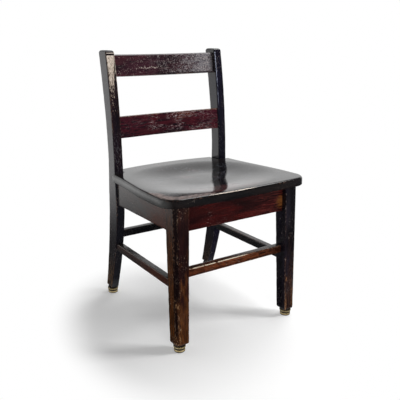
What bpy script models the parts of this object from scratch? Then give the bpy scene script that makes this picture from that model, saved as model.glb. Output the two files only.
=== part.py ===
"""Worn wooden side chair with a dished seat, two back slats and brass foot glides.

Metres, +Z up. The chair faces -Y and +X is to the right of someone who looks at its front. The origin is
on the floor, in the middle of the chair's width and depth.
"""
import math

import bmesh
import bpy
from mathutils import Matrix, Vector

# Gap that glued or resting faces keep to each other
joint_gap = 0.0003

# Whole chair
overall_depth = 0.491
overall_height = 0.8165

# Glides: a base disc on the floor, a cup above it and a spike up into the leg
glide_base_radius = 0.0163
glide_base_height = 0.0110
glide_neck_radius = 0.0125
glide_neck_height = 0.0040
glide_cup_radius = 0.0178
glide_cup_height = 0.0130
glide_spike_radius = 0.0025
glide_spike_length = 0.0180
glide_edge = 0.0028

# Front legs: upright on the outer side, raked back a little in front, tapered on the two inner faces
leg_spread = 0.436
leg_setback = 0.0152
leg_rake = 0.0096
leg_top_width = 0.0475
leg_top_depth = 0.049
leg_foot_width = 0.041
leg_foot_depth = 0.0375
leg_corner_chamfer = 0.009
leg_edge = 0.0018
foot_chamfer = 0.0045

# Back posts: bent back below and above the seat
post_spread = 0.430
post_width = 0.030
post_foot_taper = 0.0035
post_foot_depth = 0.0385
post_rail_depth = 0.057
post_waist_depth = 0.0435
post_top_depth = 0.051
post_rail_height = 0.300
post_waist_height = 0.500
post_splay = 0.0755
post_splay_power = 1.56
post_lean = 0.029
post_lean_power = 2.1
post_edge = 0.0025
post_top_round = 0.008
post_stations = 18

# Seat: widest at the front, bowed at the front and the back, dished on top
seat_front_width = 0.4945
seat_rear_width = 0.452
seat_thickness = 0.025
seat_under_height = 0.427
seat_pitch = math.radians(1.7)
seat_back_reach = 0.441
seat_back_bow = 0.0215
seat_front_bow = 0.011
seat_flare_length = 0.290
seat_corner_radius = 0.052
seat_notch_radius = 0.008
seat_top_round = 0.007
seat_under_round = 0.003
dish_depth = 0.011
dish_side_rim = 0.014
dish_front_rim = 0.022
dish_back_rim = 0.030
dish_roundness = 2.5

# Rails under the seat
apron_thickness = 0.018
front_apron_height = 0.078
side_apron_height = 0.078
back_apron_height = 0.070
front_apron_setback = 0.017
side_rail_setback = 0.0065
back_apron_setback = 0.016

# Stretchers
stretcher_height = 0.024
stretcher_thickness = 0.021
side_stretcher_level = 0.175
side_stretcher_rise = 0.006
front_stretcher_level = 0.211
back_stretcher_level = 0.2215
front_stretcher_setback = 0.0215
back_stretcher_setback = 0.001

# Back slats
slat_thickness = 0.019
slat_bow = 0.009
top_slat_drop = 0.0115
top_slat_height = 0.0675
top_slat_setback = 0.012
top_slat_round = 0.008
lower_slat_level = 0.5485
lower_slat_height = 0.068
lower_slat_setback = 0.003
slat_stations = 12

# Joinery
tenon_length = 0.014
tenon_shoulder = 0.004
rail_edge = 0.0018
mortise_gap = 0.0004

# Corner blocks and seat screws
block_reach = 0.045
block_height = 0.024
screw_radius = 0.0022
screw_head_radius = 0.0045
screw_head_height = 0.0030
screw_bite = 0.012
screw_gap = 0.0003

# Worked out from the sizes above
floor_to_wood = glide_base_height + glide_cup_height
leg_outer_x = leg_spread / 2
post_outer_x = post_spread / 2
post_inner_x = post_outer_x - post_width
seat_front_y = -overall_depth / 2
foot_edge_z = floor_to_wood + foot_chamfer
top_slat_level = overall_height - top_slat_drop - top_slat_height
post_foot_rear_y = overall_depth / 2
post_foot_straight_y = post_foot_rear_y - post_foot_depth - post_splay
round_segments = 32
small_round_segments = 16


def clear_scene():
    for obj in list(bpy.data.objects):
        bpy.data.objects.remove(obj, do_unlink=True)


def make_material(name, color, roughness, metallic=0.0):
    material = bpy.data.materials.new(name)
    material.use_nodes = True
    shader = material.node_tree.nodes["Principled BSDF"]
    shader.inputs["Base Color"].default_value = (*color, 1.0)
    shader.inputs["Roughness"].default_value = roughness
    shader.inputs["Metallic"].default_value = metallic
    return material


def add_object(name, bm, material):
    bmesh.ops.recalc_face_normals(bm, faces=bm.faces)
    mesh = bpy.data.meshes.new(name)
    bm.to_mesh(mesh)
    bm.free()
    mesh.materials.append(material)
    obj = bpy.data.objects.new(name, mesh)
    bpy.context.collection.objects.link(obj)
    return obj


def shade_round(obj, angle=35.0):
    obj.data.shade_smooth()
    obj.data.set_sharp_from_angle(angle=math.radians(angle))


def seat_under_z(y):
    """Height of the seat's flat underside, which falls a little towards the back."""
    return seat_under_height - math.tan(seat_pitch) * (y - seat_front_y)


def taper(low, high, z):
    """Straight change from low at the foot to high at the seat."""
    share = (z - floor_to_wood) / (seat_under_height - floor_to_wood)
    return low + (high - low) * share


def leg_inner_x(z):
    return leg_outer_x - taper(leg_foot_width, leg_top_width, z)


def leg_front_y(z):
    return seat_front_y + leg_setback + taper(0.0, leg_rake, z)


def leg_rear_y(z):
    return leg_front_y(z) + taper(leg_foot_depth, leg_top_depth, z)


def post_straight_y(z):
    """Front of a back post where it stands square to the seat."""
    return post_foot_straight_y + math.tan(seat_pitch) * (z - foot_edge_z)


def post_front_y(z):
    """Front of a back post: straight behind the apron and the seat, bent back below and above."""
    y = post_straight_y(z)
    straight_low = seat_under_z(post_straight_y(seat_under_height)) - joint_gap - side_apron_height
    straight_high = seat_under_height + seat_thickness
    if z < straight_low:
        share = (straight_low - z) / (straight_low - foot_edge_z)
        y += post_splay * share ** post_splay_power
    if z > straight_high:
        share = (z - straight_high) / (overall_height - straight_high)
        y += post_lean * share ** post_lean_power
    return y


def ease_out(share):
    return math.sin(share * math.pi / 2)


def ease_both(share):
    return share * share * (3.0 - 2.0 * share)


def post_depth(z):
    """Depth of a back post, eased between its foot, rail, waist and top depths."""
    if z < post_rail_height:
        share = max(0.0, (z - foot_edge_z) / (post_rail_height - foot_edge_z))
        return post_foot_depth + (post_rail_depth - post_foot_depth) * ease_out(share)
    if z < post_waist_height:
        share = (z - post_rail_height) / (post_waist_height - post_rail_height)
        return post_rail_depth + (post_waist_depth - post_rail_depth) * ease_both(share)
    share = (z - post_waist_height) / (overall_height - post_waist_height)
    return post_waist_depth + (post_top_depth - post_waist_depth) * ease_both(share)


def post_outer(z):
    """Outer face of a back post, drawn in a little towards the foot."""
    share = max(0.0, (seat_under_height - z) / (seat_under_height - floor_to_wood))
    return post_outer_x - post_foot_taper * share


def loft(bm, rings):
    """Skin rings of points that all have the same count, and close both ends."""
    rows = [[bm.verts.new(point) for point in ring] for ring in rings]
    count = len(rows[0])
    for low, high in zip(rows, rows[1:]):
        for i in range(count):
            j = (i + 1) % count
            bm.faces.new((low[i], low[j], high[j], high[i]))
    start = bm.faces.new(list(reversed(rows[0])))
    end = bm.faces.new(rows[-1])
    return start, end


def rounded_rectangle(low, high, radii, steps=2):
    """Points of a rectangle in its plane, with one radius for each corner.

    The corners go round from (low, low) by way of (high, low).
    """
    corners = [(low[0], low[1]), (high[0], low[1]), (high[0], high[1]), (low[0], high[1])]
    toward_middle = [(1, 1), (-1, 1), (-1, -1), (1, -1)]
    points = []
    for index, (corner, side, radius) in enumerate(zip(corners, toward_middle, radii)):
        middle = (corner[0] + side[0] * radius, corner[1] + side[1] * radius)
        start = math.pi + index * math.pi / 2
        for step in range(steps + 1):
            angle = start + step / steps * math.pi / 2
            points.append((middle[0] + radius * math.cos(angle), middle[1] + radius * math.sin(angle)))
    return points


def turned(bm, profile, segments):
    """Spin a profile of (radius, height) points about the Z axis."""
    verts = [bm.verts.new((radius, 0.0, height)) for radius, height in profile]
    edges = [bm.edges.new(pair) for pair in zip(verts, verts[1:])]
    bmesh.ops.spin(bm, geom=verts + edges, cent=(0, 0, 0), axis=(0, 0, 1), angle=math.tau,
                   steps=segments, use_merge=True, use_duplicate=False)
    bmesh.ops.remove_doubles(bm, verts=bm.verts, dist=0.00001)


def cut(target, name, bm):
    """Cut the shape in bm out of an object."""
    cutter = add_object(name, bm, target.data.materials[0])
    cutter.hide_render = True
    cutter.display_type = "WIRE"
    boolean = target.modifiers.new(name, "BOOLEAN")
    boolean.operation = "DIFFERENCE"
    boolean.solver = "EXACT"
    boolean.object = cutter
    return cutter


def tenon_section(low, high):
    """Rail section drawn in by the shoulder on every side."""
    inner_low = (low[0] + tenon_shoulder, low[1] + tenon_shoulder)
    inner_high = (high[0] - tenon_shoulder, high[1] - tenon_shoulder)
    return inner_low, inner_high


def add_rail(name, material, place, stops, low, high, radii, hosts):
    """Rail with a tenon at both ends, and its mortises in the two hosts.

    place(stop, reach, u, v) gives the point that lies reach beyond a stop, at (u, v) of the section.
    """
    tenon_low, tenon_high = tenon_section(low, high)
    full = rounded_rectangle(low, high, radii)
    core = rounded_rectangle(tenon_low, tenon_high, [rail_edge] * 4)
    first, last = stops[0], stops[-1]
    rings = [
        [place(first, joint_gap - tenon_length, u, v) for u, v in core],
        [place(first, joint_gap, u, v) for u, v in core],
        [place(first, joint_gap, u, v) for u, v in full],
    ]
    rings += [[place(stop, 0.0, u, v) for u, v in full] for stop in stops[1:-1]]
    rings += [
        [place(last, -joint_gap, u, v) for u, v in full],
        [place(last, -joint_gap, u, v) for u, v in core],
        [place(last, tenon_length - joint_gap, u, v) for u, v in core],
    ]
    bm = bmesh.new()
    loft(bm, rings)
    rail = add_object(name, bm, material)
    pocket_low = [value - mortise_gap for value in tenon_low]
    pocket_high = [value + mortise_gap for value in tenon_high]
    pocket = rounded_rectangle(pocket_low, pocket_high, [rail_edge] * 4)
    for host, stop, sign in zip(hosts, (first, last), (-1, 1)):
        bm = bmesh.new()
        loft(bm, [
            [place(stop, sign * (tenon_length + mortise_gap), u, v) for u, v in pocket],
            [place(stop, -sign * tenon_shoulder, u, v) for u, v in pocket],
        ])
        cut(host, f"mortise_{name}_{'start' if sign < 0 else 'end'}", bm)
    shade_round(rail)
    return rail


def make_front_leg(side, word, material):
    """Square leg on one side, with its broad chamfer to the outside and the front."""
    def section(z, inset):
        low = (leg_inner_x(z) + inset, leg_front_y(z) + inset)
        high = (leg_outer_x - inset, leg_rear_y(z) - inset)
        radii = [leg_edge, leg_corner_chamfer, leg_edge, leg_edge]
        return rounded_rectangle(low, high, radii, steps=1)

    rings = [
        [(side * x, y, floor_to_wood) for x, y in section(floor_to_wood, foot_chamfer)],
        [(side * x, y, floor_to_wood + foot_chamfer) for x, y in section(floor_to_wood, 0.0)],
        [(side * x, y, seat_under_z(y) - joint_gap) for x, y in section(seat_under_height, 0.0)],
    ]
    bm = bmesh.new()
    loft(bm, rings)
    leg = add_object(f"front_leg_{word}", bm, material)
    shade_round(leg)
    return leg


def make_back_post(side, word, material):
    """One-piece back post from its foot, past the seat, to its rounded top."""
    def ring(shape_z, height, inset):
        low = (post_inner_x + inset, post_front_y(shape_z) + inset)
        high = (post_outer(shape_z) - inset, post_front_y(shape_z) + post_depth(shape_z) - inset)
        return [(side * x, y, height) for x, y in rounded_rectangle(low, high, [post_edge] * 4)]

    shoulder_z = overall_height - post_top_round
    rings = [ring(foot_edge_z, floor_to_wood, foot_chamfer)]
    for step in range(post_stations + 1):
        z = foot_edge_z + (shoulder_z - foot_edge_z) * step / post_stations
        rings.append(ring(z, z, 0.0))
    for angle in (math.radians(30), math.radians(60), math.radians(90)):
        inset = min(post_top_round * (1.0 - math.cos(angle)), post_top_round * 0.8)
        rings.append(ring(shoulder_z, shoulder_z + post_top_round * math.sin(angle), inset))
    bm = bmesh.new()
    loft(bm, rings)
    post = add_object(f"back_post_{word}", bm, material)
    shade_round(post)
    return post


def seat_half_width(reach):
    """Half the seat's width at a distance back from its front edge."""
    notch_reach = post_straight_y(seat_under_height) - seat_front_y
    share = min(1.0, max(0.0, (notch_reach - reach) / seat_flare_length))
    return (seat_rear_width + (seat_front_width - seat_rear_width) * ease_both(share)) / 2


def seat_outline():
    """Outline of the seat before its notches are cut, with the front edge's middle at y = 0."""
    corner_x = seat_front_width / 2 - seat_corner_radius
    bow_half = seat_front_width / 2
    slope = math.atan(2 * seat_front_bow * corner_x / bow_half ** 2)
    join_x = corner_x + seat_corner_radius * math.sin(slope)
    join_y = seat_front_bow * (join_x / bow_half) ** 2
    corner_y = join_y + seat_corner_radius * math.cos(slope)
    corner_steps, side_steps, back_steps, front_steps = 8, 9, 6, 4
    right = []
    for step in range(1, front_steps + 1):
        x = join_x * step / front_steps
        right.append((x, seat_front_bow * (x / bow_half) ** 2))
    for step in range(1, corner_steps + 1):
        angle = -math.pi / 2 + slope + step / corner_steps * (math.pi / 2 - slope)
        right.append((corner_x + seat_corner_radius * math.cos(angle),
                      corner_y + seat_corner_radius * math.sin(angle)))
    for step in range(1, side_steps + 1):
        y = corner_y + (seat_back_reach - corner_y) * step / side_steps
        right.append((seat_half_width(y), y))
    back_half = seat_half_width(seat_back_reach)
    for step in range(1, back_steps):
        x = back_half * (1 - step / back_steps)
        right.append((x, seat_back_reach + seat_back_bow * (1 - (x / post_inner_x) ** 2)))
    left = [(-x, y) for x, y in reversed(right)]
    back_middle = (0.0, seat_back_reach + seat_back_bow)
    return [(0.0, 0.0)] + right + [back_middle] + left


def dish_drop(x, y):
    """How far the dished top lies below its rim."""
    back_rim_y = seat_back_reach - dish_back_rim
    half_length = (back_rim_y - dish_front_rim) / 2
    across = abs(x) / (seat_half_width(y) - dish_side_rim)
    along = abs(y - dish_front_rim - half_length) / half_length
    radius = (across ** dish_roundness + along ** dish_roundness) ** (1 / dish_roundness)
    wall = min(1.0, max(0.0, 1.0 - radius) / 0.7)
    return dish_depth * math.sin(wall * math.pi / 2) ** 1.5


def make_seat(material):
    bm = bmesh.new()
    under = bm.faces.new([bm.verts.new((x, y, 0.0)) for x, y in seat_outline()])
    drawn = bmesh.ops.extrude_face_region(bm, geom=[under])
    raised = [item for item in drawn["geom"] if isinstance(item, bmesh.types.BMVert)]
    bmesh.ops.translate(bm, verts=raised, vec=(0, 0, seat_thickness))
    bmesh.ops.recalc_face_normals(bm, faces=bm.faces)
    for height, width, segments in ((0.0, seat_under_round, 1), (seat_thickness, seat_top_round, 3)):
        loop = [edge for edge in bm.edges if all(abs(vert.co.z - height) < 1e-6 for vert in edge.verts)]
        bmesh.ops.bevel(bm, geom=loop, offset=width, affect="EDGES", segments=segments, profile=0.5,
                        material=-1, clamp_overlap=True)
    top = max(bm.faces, key=lambda face: face.calc_center_median().z)
    rim = [vert.co.copy() for vert in top.verts]
    middle = Vector((0.0, seat_back_reach * 0.5, seat_thickness))
    for share in (0.96, 0.92, 0.87, 0.81, 0.73, 0.62, 0.48, 0.32, 0.15):
        bmesh.ops.inset_individual(bm, faces=[top], thickness=0.0001)
        for vert, start in zip(top.verts, rim):
            vert.co = middle + (start - middle) * share
            vert.co.z = seat_thickness - dish_drop(vert.co.x, vert.co.y)
    poked = bmesh.ops.poke(bm, faces=[top])
    for vert in poked["verts"]:
        vert.co.z = seat_thickness - dish_drop(vert.co.x, vert.co.y)
    seat = add_object("seat", bm, material)
    seat.location = (0.0, seat_front_y, seat_under_height)
    seat.rotation_euler = (-seat_pitch, 0.0, 0.0)
    shade_round(seat, 30.0)
    return seat


def notch_seat(seat):
    """Cut the seat away round the two back posts, and round its corners beside them."""
    side_x = seat_rear_width / 2
    quarter = [math.radians(angle) for angle in (90, 67.5, 45, 22.5, 5)]
    for side, word in ((-1, "left"), (1, "right")):
        inner = post_inner_x - joint_gap
        outer = seat_front_width / 2 + seat_thickness
        back = post_foot_rear_y + seat_thickness
        rings = []
        for z in (seat_under_height - seat_thickness, seat_under_height + 2 * seat_thickness):
            front = post_straight_y(z) - joint_gap
            middle_x, middle_y = side_x - seat_notch_radius, front - seat_notch_radius
            corner = [(middle_x + seat_notch_radius * math.cos(angle),
                       middle_y + seat_notch_radius * math.sin(angle)) for angle in quarter]
            ring = [(inner, front)] + corner + [(outer, corner[-1][1]), (outer, back), (inner, back)]
            rings.append([(side * x, y, z) for x, y in ring])
        bm = bmesh.new()
        loft(bm, rings)
        cut(seat, f"notch_{word}", bm)


def leg_or_post_faces(inner_x):
    """Left and right faces, as heights to x, that a cross rail runs between."""
    return (lambda z: -inner_x(z)), inner_x


def make_cross_rail(name, material, hosts, inner_x, front_y, level, height, thickness):
    """Rail from side to side between two legs or two posts."""
    def place(stop, reach, u, v):
        return (stop(v) + reach, u, v)

    low = (front_y, level)
    high = (front_y + thickness, level + height)
    return add_rail(name, material, place, leg_or_post_faces(inner_x), low, high, [rail_edge] * 4, hosts)


def make_cross_rails(material, legs, posts):
    """Front and back aprons and stretchers."""
    def post_inner(z):
        return post_inner_x

    front_y = leg_front_y(seat_under_height - front_apron_height / 2) + front_apron_setback
    level = seat_under_z(front_y + apron_thickness) - joint_gap - front_apron_height
    make_cross_rail("front_apron", material, legs, leg_inner_x, front_y, level, front_apron_height,
                    apron_thickness)
    back_y = post_straight_y(seat_under_height - back_apron_height / 2) + back_apron_setback
    level = seat_under_z(back_y + apron_thickness) - joint_gap - back_apron_height
    make_cross_rail("back_apron", material, posts, post_inner, back_y, level, back_apron_height,
                    apron_thickness)
    front_y = leg_front_y(front_stretcher_level + stretcher_height / 2) + front_stretcher_setback
    make_cross_rail("front_stretcher", material, legs, leg_inner_x, front_y, front_stretcher_level,
                    stretcher_height, stretcher_thickness)
    back_y = post_front_y(back_stretcher_level + stretcher_height / 2) + back_stretcher_setback
    make_cross_rail("back_stretcher", material, posts, post_inner, back_y, back_stretcher_level,
                    stretcher_height, stretcher_thickness)


def make_side_rails(side, word, material, leg, post):
    """Apron and stretcher that run from a front leg back to a post."""
    outer_x = post_outer_x - side_rail_setback

    def place_apron(stop, reach, u, v):
        z = seat_under_z(stop(seat_under_height)) - joint_gap + v
        return (side * u, stop(z) + reach, z)

    low = (outer_x - apron_thickness, -side_apron_height)
    add_rail(f"side_apron_{word}", material, place_apron, (leg_rear_y, post_front_y), low, (outer_x, 0.0),
             [rail_edge] * 4, (leg, post))

    def place_stretcher(stop, reach, u, v):
        z = v + (side_stretcher_rise if stop is leg_rear_y else 0.0)
        return (side * u, stop(z) + reach, z)

    low = (outer_x - stretcher_thickness, side_stretcher_level)
    high = (outer_x, side_stretcher_level + stretcher_height)
    add_rail(f"side_stretcher_{word}", material, place_stretcher, (leg_rear_y, post_front_y), low, high,
             [rail_edge] * 4, (leg, post))


def make_slat(name, material, posts, level, height, setback, top_round):
    """Board between the posts that leans with them and bows back in the middle."""
    foot_y = post_front_y(level) + setback
    lean = math.atan2(post_front_y(level + height) - post_front_y(level), height)
    up = Vector((0.0, math.sin(lean), math.cos(lean)))
    back = Vector((0.0, math.cos(lean), -math.sin(lean)))

    def place(stop, reach, u, v):
        bow = slat_bow * (1.0 - (stop / post_inner_x) ** 2)
        return Vector((stop + reach, foot_y, level)) + up * v + back * (u + bow)

    stops = [post_inner_x * (2 * step / slat_stations - 1) for step in range(slat_stations + 1)]
    radii = [rail_edge, rail_edge, rail_edge, top_round]
    add_rail(name, material, place, stops, (0.0, 0.0), (slat_thickness, height / math.cos(lean)), radii, posts)


def corner_plan(side, at_front):
    """Plan of a corner block, notched round the inner corner of its leg or post."""
    side_x = post_outer_x - side_rail_setback - apron_thickness - joint_gap
    if at_front:
        wood_x = leg_inner_x(seat_under_height) - joint_gap
        wood_y = leg_rear_y(seat_under_height) + joint_gap
        rail_y = (leg_front_y(seat_under_height - front_apron_height / 2) + front_apron_setback
                  + apron_thickness + joint_gap)
        inward = 1
    else:
        wood_x = post_inner_x - joint_gap
        back_under_z = seat_under_z(post_straight_y(seat_under_height))
        wood_y = post_straight_y(back_under_z - block_height) - joint_gap
        rail_y = (post_straight_y(seat_under_height - back_apron_height / 2) + back_apron_setback
                  - joint_gap)
        inward = -1
    points = [(wood_x, rail_y), (wood_x, wood_y), (side_x, wood_y),
              (side_x, wood_y + inward * block_reach), (wood_x - block_reach, rail_y)]
    return [(side * x, y) for x, y in points]


def make_corner(side, word, at_front, wood, metal, seat):
    """Corner block glued inside two aprons, with the screw that holds the seat."""
    plan = corner_plan(side, at_front)
    end_word = "front" if at_front else "back"
    screw_x = (plan[1][0] + plan[3][0] + plan[4][0]) / 3
    screw_y = (plan[1][1] + plan[3][1] + plan[4][1]) / 3
    under_z = seat_under_z(screw_y) - joint_gap - block_height
    bm = bmesh.new()
    loft(bm, [[(x, y, under_z) for x, y in plan], [(x, y, seat_under_z(y) - joint_gap) for x, y in plan]])
    block = add_object(f"corner_block_{end_word}_{word}", bm, wood)

    length = block_height + joint_gap + screw_bite
    bm = bmesh.new()
    turned(bm, [(0.0, 0.0), (screw_head_radius, 0.0), (screw_radius, screw_head_height),
                (screw_radius, length - screw_radius), (0.0, length)], small_round_segments)
    screw = add_object(f"seat_screw_{end_word}_{word}", bm, metal)
    screw.location = (screw_x, screw_y, under_z)
    shade_round(screw)

    wide = screw_radius + screw_gap
    bm = bmesh.new()
    turned(bm, [(0.0, -screw_head_height), (screw_head_radius + screw_gap, -screw_head_height),
                (screw_head_radius + screw_gap, screw_gap), (wide, screw_head_height + screw_gap),
                (wide, length + screw_gap), (0.0, length + screw_gap)], small_round_segments)
    for host in (block, seat):
        hole = cut(host, f"screw_hole_{end_word}_{word}_{host.name}", bm.copy())
        hole.location = screw.location
    bm.free()


def make_glide(word, x, y, host, brass):
    """Brass foot glide: a base disc, and a cup whose spike goes up into the leg."""
    base_top = glide_base_height
    bm = bmesh.new()
    turned(bm, [(0.0, 0.0), (glide_base_radius - glide_edge, 0.0), (glide_base_radius, glide_edge),
                (glide_base_radius, base_top - glide_edge), (glide_base_radius - glide_edge, base_top),
                (glide_neck_radius, base_top), (glide_neck_radius, base_top + glide_neck_height),
                (0.0, base_top + glide_neck_height)], round_segments)
    base = add_object(f"glide_base_{word}", bm, brass)
    base.location = (x, y, 0.0)
    shade_round(base, 50.0)

    cup_low = base_top + joint_gap
    cup_top = floor_to_wood - joint_gap
    ceiling = base_top + glide_neck_height + joint_gap
    spike_top = cup_top + glide_spike_length
    bm = bmesh.new()
    turned(bm, [(0.0, ceiling), (glide_neck_radius + joint_gap, ceiling),
                (glide_neck_radius + joint_gap, cup_low), (glide_cup_radius - glide_edge, cup_low),
                (glide_cup_radius, cup_low + glide_edge), (glide_cup_radius, cup_top - glide_edge),
                (glide_cup_radius - glide_edge, cup_top), (glide_spike_radius, cup_top),
                (glide_spike_radius, spike_top - 2 * glide_spike_radius), (0.0, spike_top)], round_segments)
    cup = add_object(f"glide_cup_{word}", bm, brass)
    cup.location = (x, y, 0.0)
    shade_round(cup, 50.0)

    bm = bmesh.new()
    turned(bm, [(0.0, cup_top), (glide_spike_radius + screw_gap, cup_top),
                (glide_spike_radius + screw_gap, spike_top + screw_gap), (0.0, spike_top + screw_gap)],
           small_round_segments)
    hole = cut(host, f"spike_hole_{word}", bm)
    hole.location = cup.location


def build_chair():
    clear_scene()
    leg_wood = make_material("leg_wood", (0.055, 0.022, 0.018), 0.30)
    rail_wood = make_material("rail_wood", (0.085, 0.022, 0.016), 0.28)
    seat_wood = make_material("seat_wood", (0.040, 0.024, 0.022), 0.18)
    block_wood = make_material("block_wood", (0.230, 0.130, 0.070), 0.60)
    brass = make_material("brass", (0.480, 0.330, 0.140), 0.40, 1.0)
    steel = make_material("steel", (0.350, 0.340, 0.330), 0.45, 1.0)

    sides = ((-1, "left"), (1, "right"))
    legs = [make_front_leg(side, word, leg_wood) for side, word in sides]
    posts = [make_back_post(side, word, leg_wood) for side, word in sides]
    seat = make_seat(seat_wood)
    notch_seat(seat)
    make_cross_rails(rail_wood, legs, posts)
    for (side, word), leg, post in zip(sides, legs, posts):
        make_side_rails(side, word, rail_wood, leg, post)
    make_slat("top_slat", rail_wood, posts, top_slat_level, top_slat_height, top_slat_setback, top_slat_round)
    make_slat("lower_slat", rail_wood, posts, lower_slat_level, lower_slat_height, lower_slat_setback,
              rail_edge)
    for side, word in sides:
        for at_front in (True, False):
            make_corner(side, word, at_front, block_wood, steel, seat)
    foot_z = floor_to_wood
    leg_x = (leg_outer_x + leg_inner_x(foot_z)) / 2
    leg_y = (leg_front_y(foot_z) + leg_rear_y(foot_z)) / 2
    post_x = (post_outer(foot_z) + post_inner_x) / 2
    post_y = post_foot_rear_y - post_foot_depth / 2
    for (side, word), leg, post in zip(sides, legs, posts):
        make_glide(f"front_{word}", side * leg_x, leg_y, leg, brass)
        make_glide(f"back_{word}", side * post_x, post_y, post, brass)


build_chair()
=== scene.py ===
import math

import bmesh
import bpy
from bmesh import ops
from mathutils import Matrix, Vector, noise


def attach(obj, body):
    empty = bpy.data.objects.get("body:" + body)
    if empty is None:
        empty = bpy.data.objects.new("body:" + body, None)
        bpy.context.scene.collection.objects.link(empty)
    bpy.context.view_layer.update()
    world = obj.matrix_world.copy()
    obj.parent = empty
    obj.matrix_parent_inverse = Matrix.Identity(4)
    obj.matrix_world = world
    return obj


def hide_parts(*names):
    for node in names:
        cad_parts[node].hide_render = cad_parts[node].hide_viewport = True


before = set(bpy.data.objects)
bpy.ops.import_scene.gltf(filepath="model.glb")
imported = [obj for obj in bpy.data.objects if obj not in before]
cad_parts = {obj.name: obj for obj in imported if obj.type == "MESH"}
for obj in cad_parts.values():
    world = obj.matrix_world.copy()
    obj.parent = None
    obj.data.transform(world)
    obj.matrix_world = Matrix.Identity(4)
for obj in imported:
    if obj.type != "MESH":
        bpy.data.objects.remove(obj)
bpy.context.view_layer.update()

print("packed chair loaded")

# The chair's own curves, in metres, as its solids have them
chair = {
    "depth": 0.491,
    "height": 0.8165,
    "floorToWood": 0.024,
    "footChamfer": 0.0045,
    "gap": 0.0003,
    "buried": 0.0015,  # how far a rail's end runs into its leg or post
}
leg = {
    "outerX": 0.218,
    "setback": 0.0152,
    "rake": 0.0096,
    "topWidth": 0.0475,
    "topDepth": 0.049,
    "footWidth": 0.041,
    "footDepth": 0.0375,
    "corner": 0.009,
    "edge": 0.0018,
}
post = {
    "outerX": 0.215,
    "width": 0.03,
    "footTaper": 0.0035,
    "footDepth": 0.0385,
    "railDepth": 0.057,
    "waistDepth": 0.0435,
    "topDepth": 0.051,
    "railHeight": 0.3,
    "waistHeight": 0.5,
    "splay": 0.0755,
    "splayPower": 1.56,
    "lean": 0.029,
    "leanPower": 2.1,
    "edge": 0.0025,
    "topRound": 0.008,
}
seat = {
    "frontWidth": 0.4945,
    "rearWidth": 0.452,
    "thickness": 0.025,
    "underHeight": 0.427,
    "pitch": math.radians(1.7),
    "backReach": 0.441,
    "backBow": 0.0215,
    "frontBow": 0.011,
    "flareLength": 0.29,
    "cornerRadius": 0.052,
    "notchRadius": 0.008,
    "topRound": 0.007,
    "underRound": 0.003,
    "dishDepth": 0.011,
    "sideRim": 0.014,
    "frontRim": 0.022,
    "backRim": 0.03,
    "dishRoundness": 2.5,
}
rails = {
    "apronThickness": 0.018,
    "frontApronHeight": 0.078,
    "sideApronHeight": 0.078,
    "backApronHeight": 0.07,
    "frontApronSetback": 0.017,
    "backApronSetback": 0.016,
    "sideSetback": 0.0065,
    "stretcherHeight": 0.024,
    "stretcherThickness": 0.021,
    "sideLevel": 0.175,
    "sideRise": 0.006,
    "frontLevel": 0.211,
    "backLevel": 0.2215,
    "frontStretcherSetback": 0.0215,
    "backStretcherSetback": 0.001,
    "edge": 0.0018,
}
slats = {
    "thickness": 0.019,
    "bow": 0.009,
    "topLevel": 0.7375,
    "topHeight": 0.0675,
    "topSetback": 0.012,
    "topRound": 0.008,
    "lowerLevel": 0.5485,
    "lowerHeight": 0.068,
    "lowerSetback": 0.003,
}
seatFrontY = -chair["depth"] / 2
postInnerX = post["outerX"] - post["width"]
postFootRearY = chair["depth"] / 2
footEdgeZ = chair["floorToWood"] + chair["footChamfer"]


def easeBoth(share):
    return share * share * (3.0 - 2.0 * share)


def clamp(value, low=0.0, high=1.0):
    return max(low, min(high, value))


def seatUnderZ(y):
    return seat["underHeight"] - math.tan(seat["pitch"]) * (y - seatFrontY)


def legTaper(low, high, z):
    share = (z - chair["floorToWood"]) / (seat["underHeight"] - chair["floorToWood"])
    return low + (high - low) * share


def legInnerX(z):
    return leg["outerX"] - legTaper(leg["footWidth"], leg["topWidth"], z)


def legFrontY(z):
    return seatFrontY + leg["setback"] + legTaper(0.0, leg["rake"], z)


def legRearY(z):
    return legFrontY(z) + legTaper(leg["footDepth"], leg["topDepth"], z)


def postStraightY(z):
    footY = postFootRearY - post["footDepth"] - post["splay"]
    return footY + math.tan(seat["pitch"]) * (z - footEdgeZ)


def postFrontY(z):
    y = postStraightY(z)
    low = seatUnderZ(postStraightY(seat["underHeight"])) - chair["gap"] - rails["sideApronHeight"]
    high = seat["underHeight"] + seat["thickness"]
    if z < low:
        y += post["splay"] * ((low - z) / (low - footEdgeZ)) ** post["splayPower"]
    if z > high:
        y += post["lean"] * ((z - high) / (chair["height"] - high)) ** post["leanPower"]
    return y


def postDepth(z):
    if z < post["railHeight"]:
        share = max(0.0, (z - footEdgeZ) / (post["railHeight"] - footEdgeZ))
        return post["footDepth"] + (post["railDepth"] - post["footDepth"]) * math.sin(share * math.pi / 2)
    if z < post["waistHeight"]:
        share = (z - post["railHeight"]) / (post["waistHeight"] - post["railHeight"])
        return post["railDepth"] + (post["waistDepth"] - post["railDepth"]) * easeBoth(share)
    share = (z - post["waistHeight"]) / (chair["height"] - post["waistHeight"])
    return post["waistDepth"] + (post["topDepth"] - post["waistDepth"]) * easeBoth(share)


def postOuterX(z):
    share = (seat["underHeight"] - z) / (seat["underHeight"] - chair["floorToWood"])
    return post["outerX"] - post["footTaper"] * clamp(share)


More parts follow.
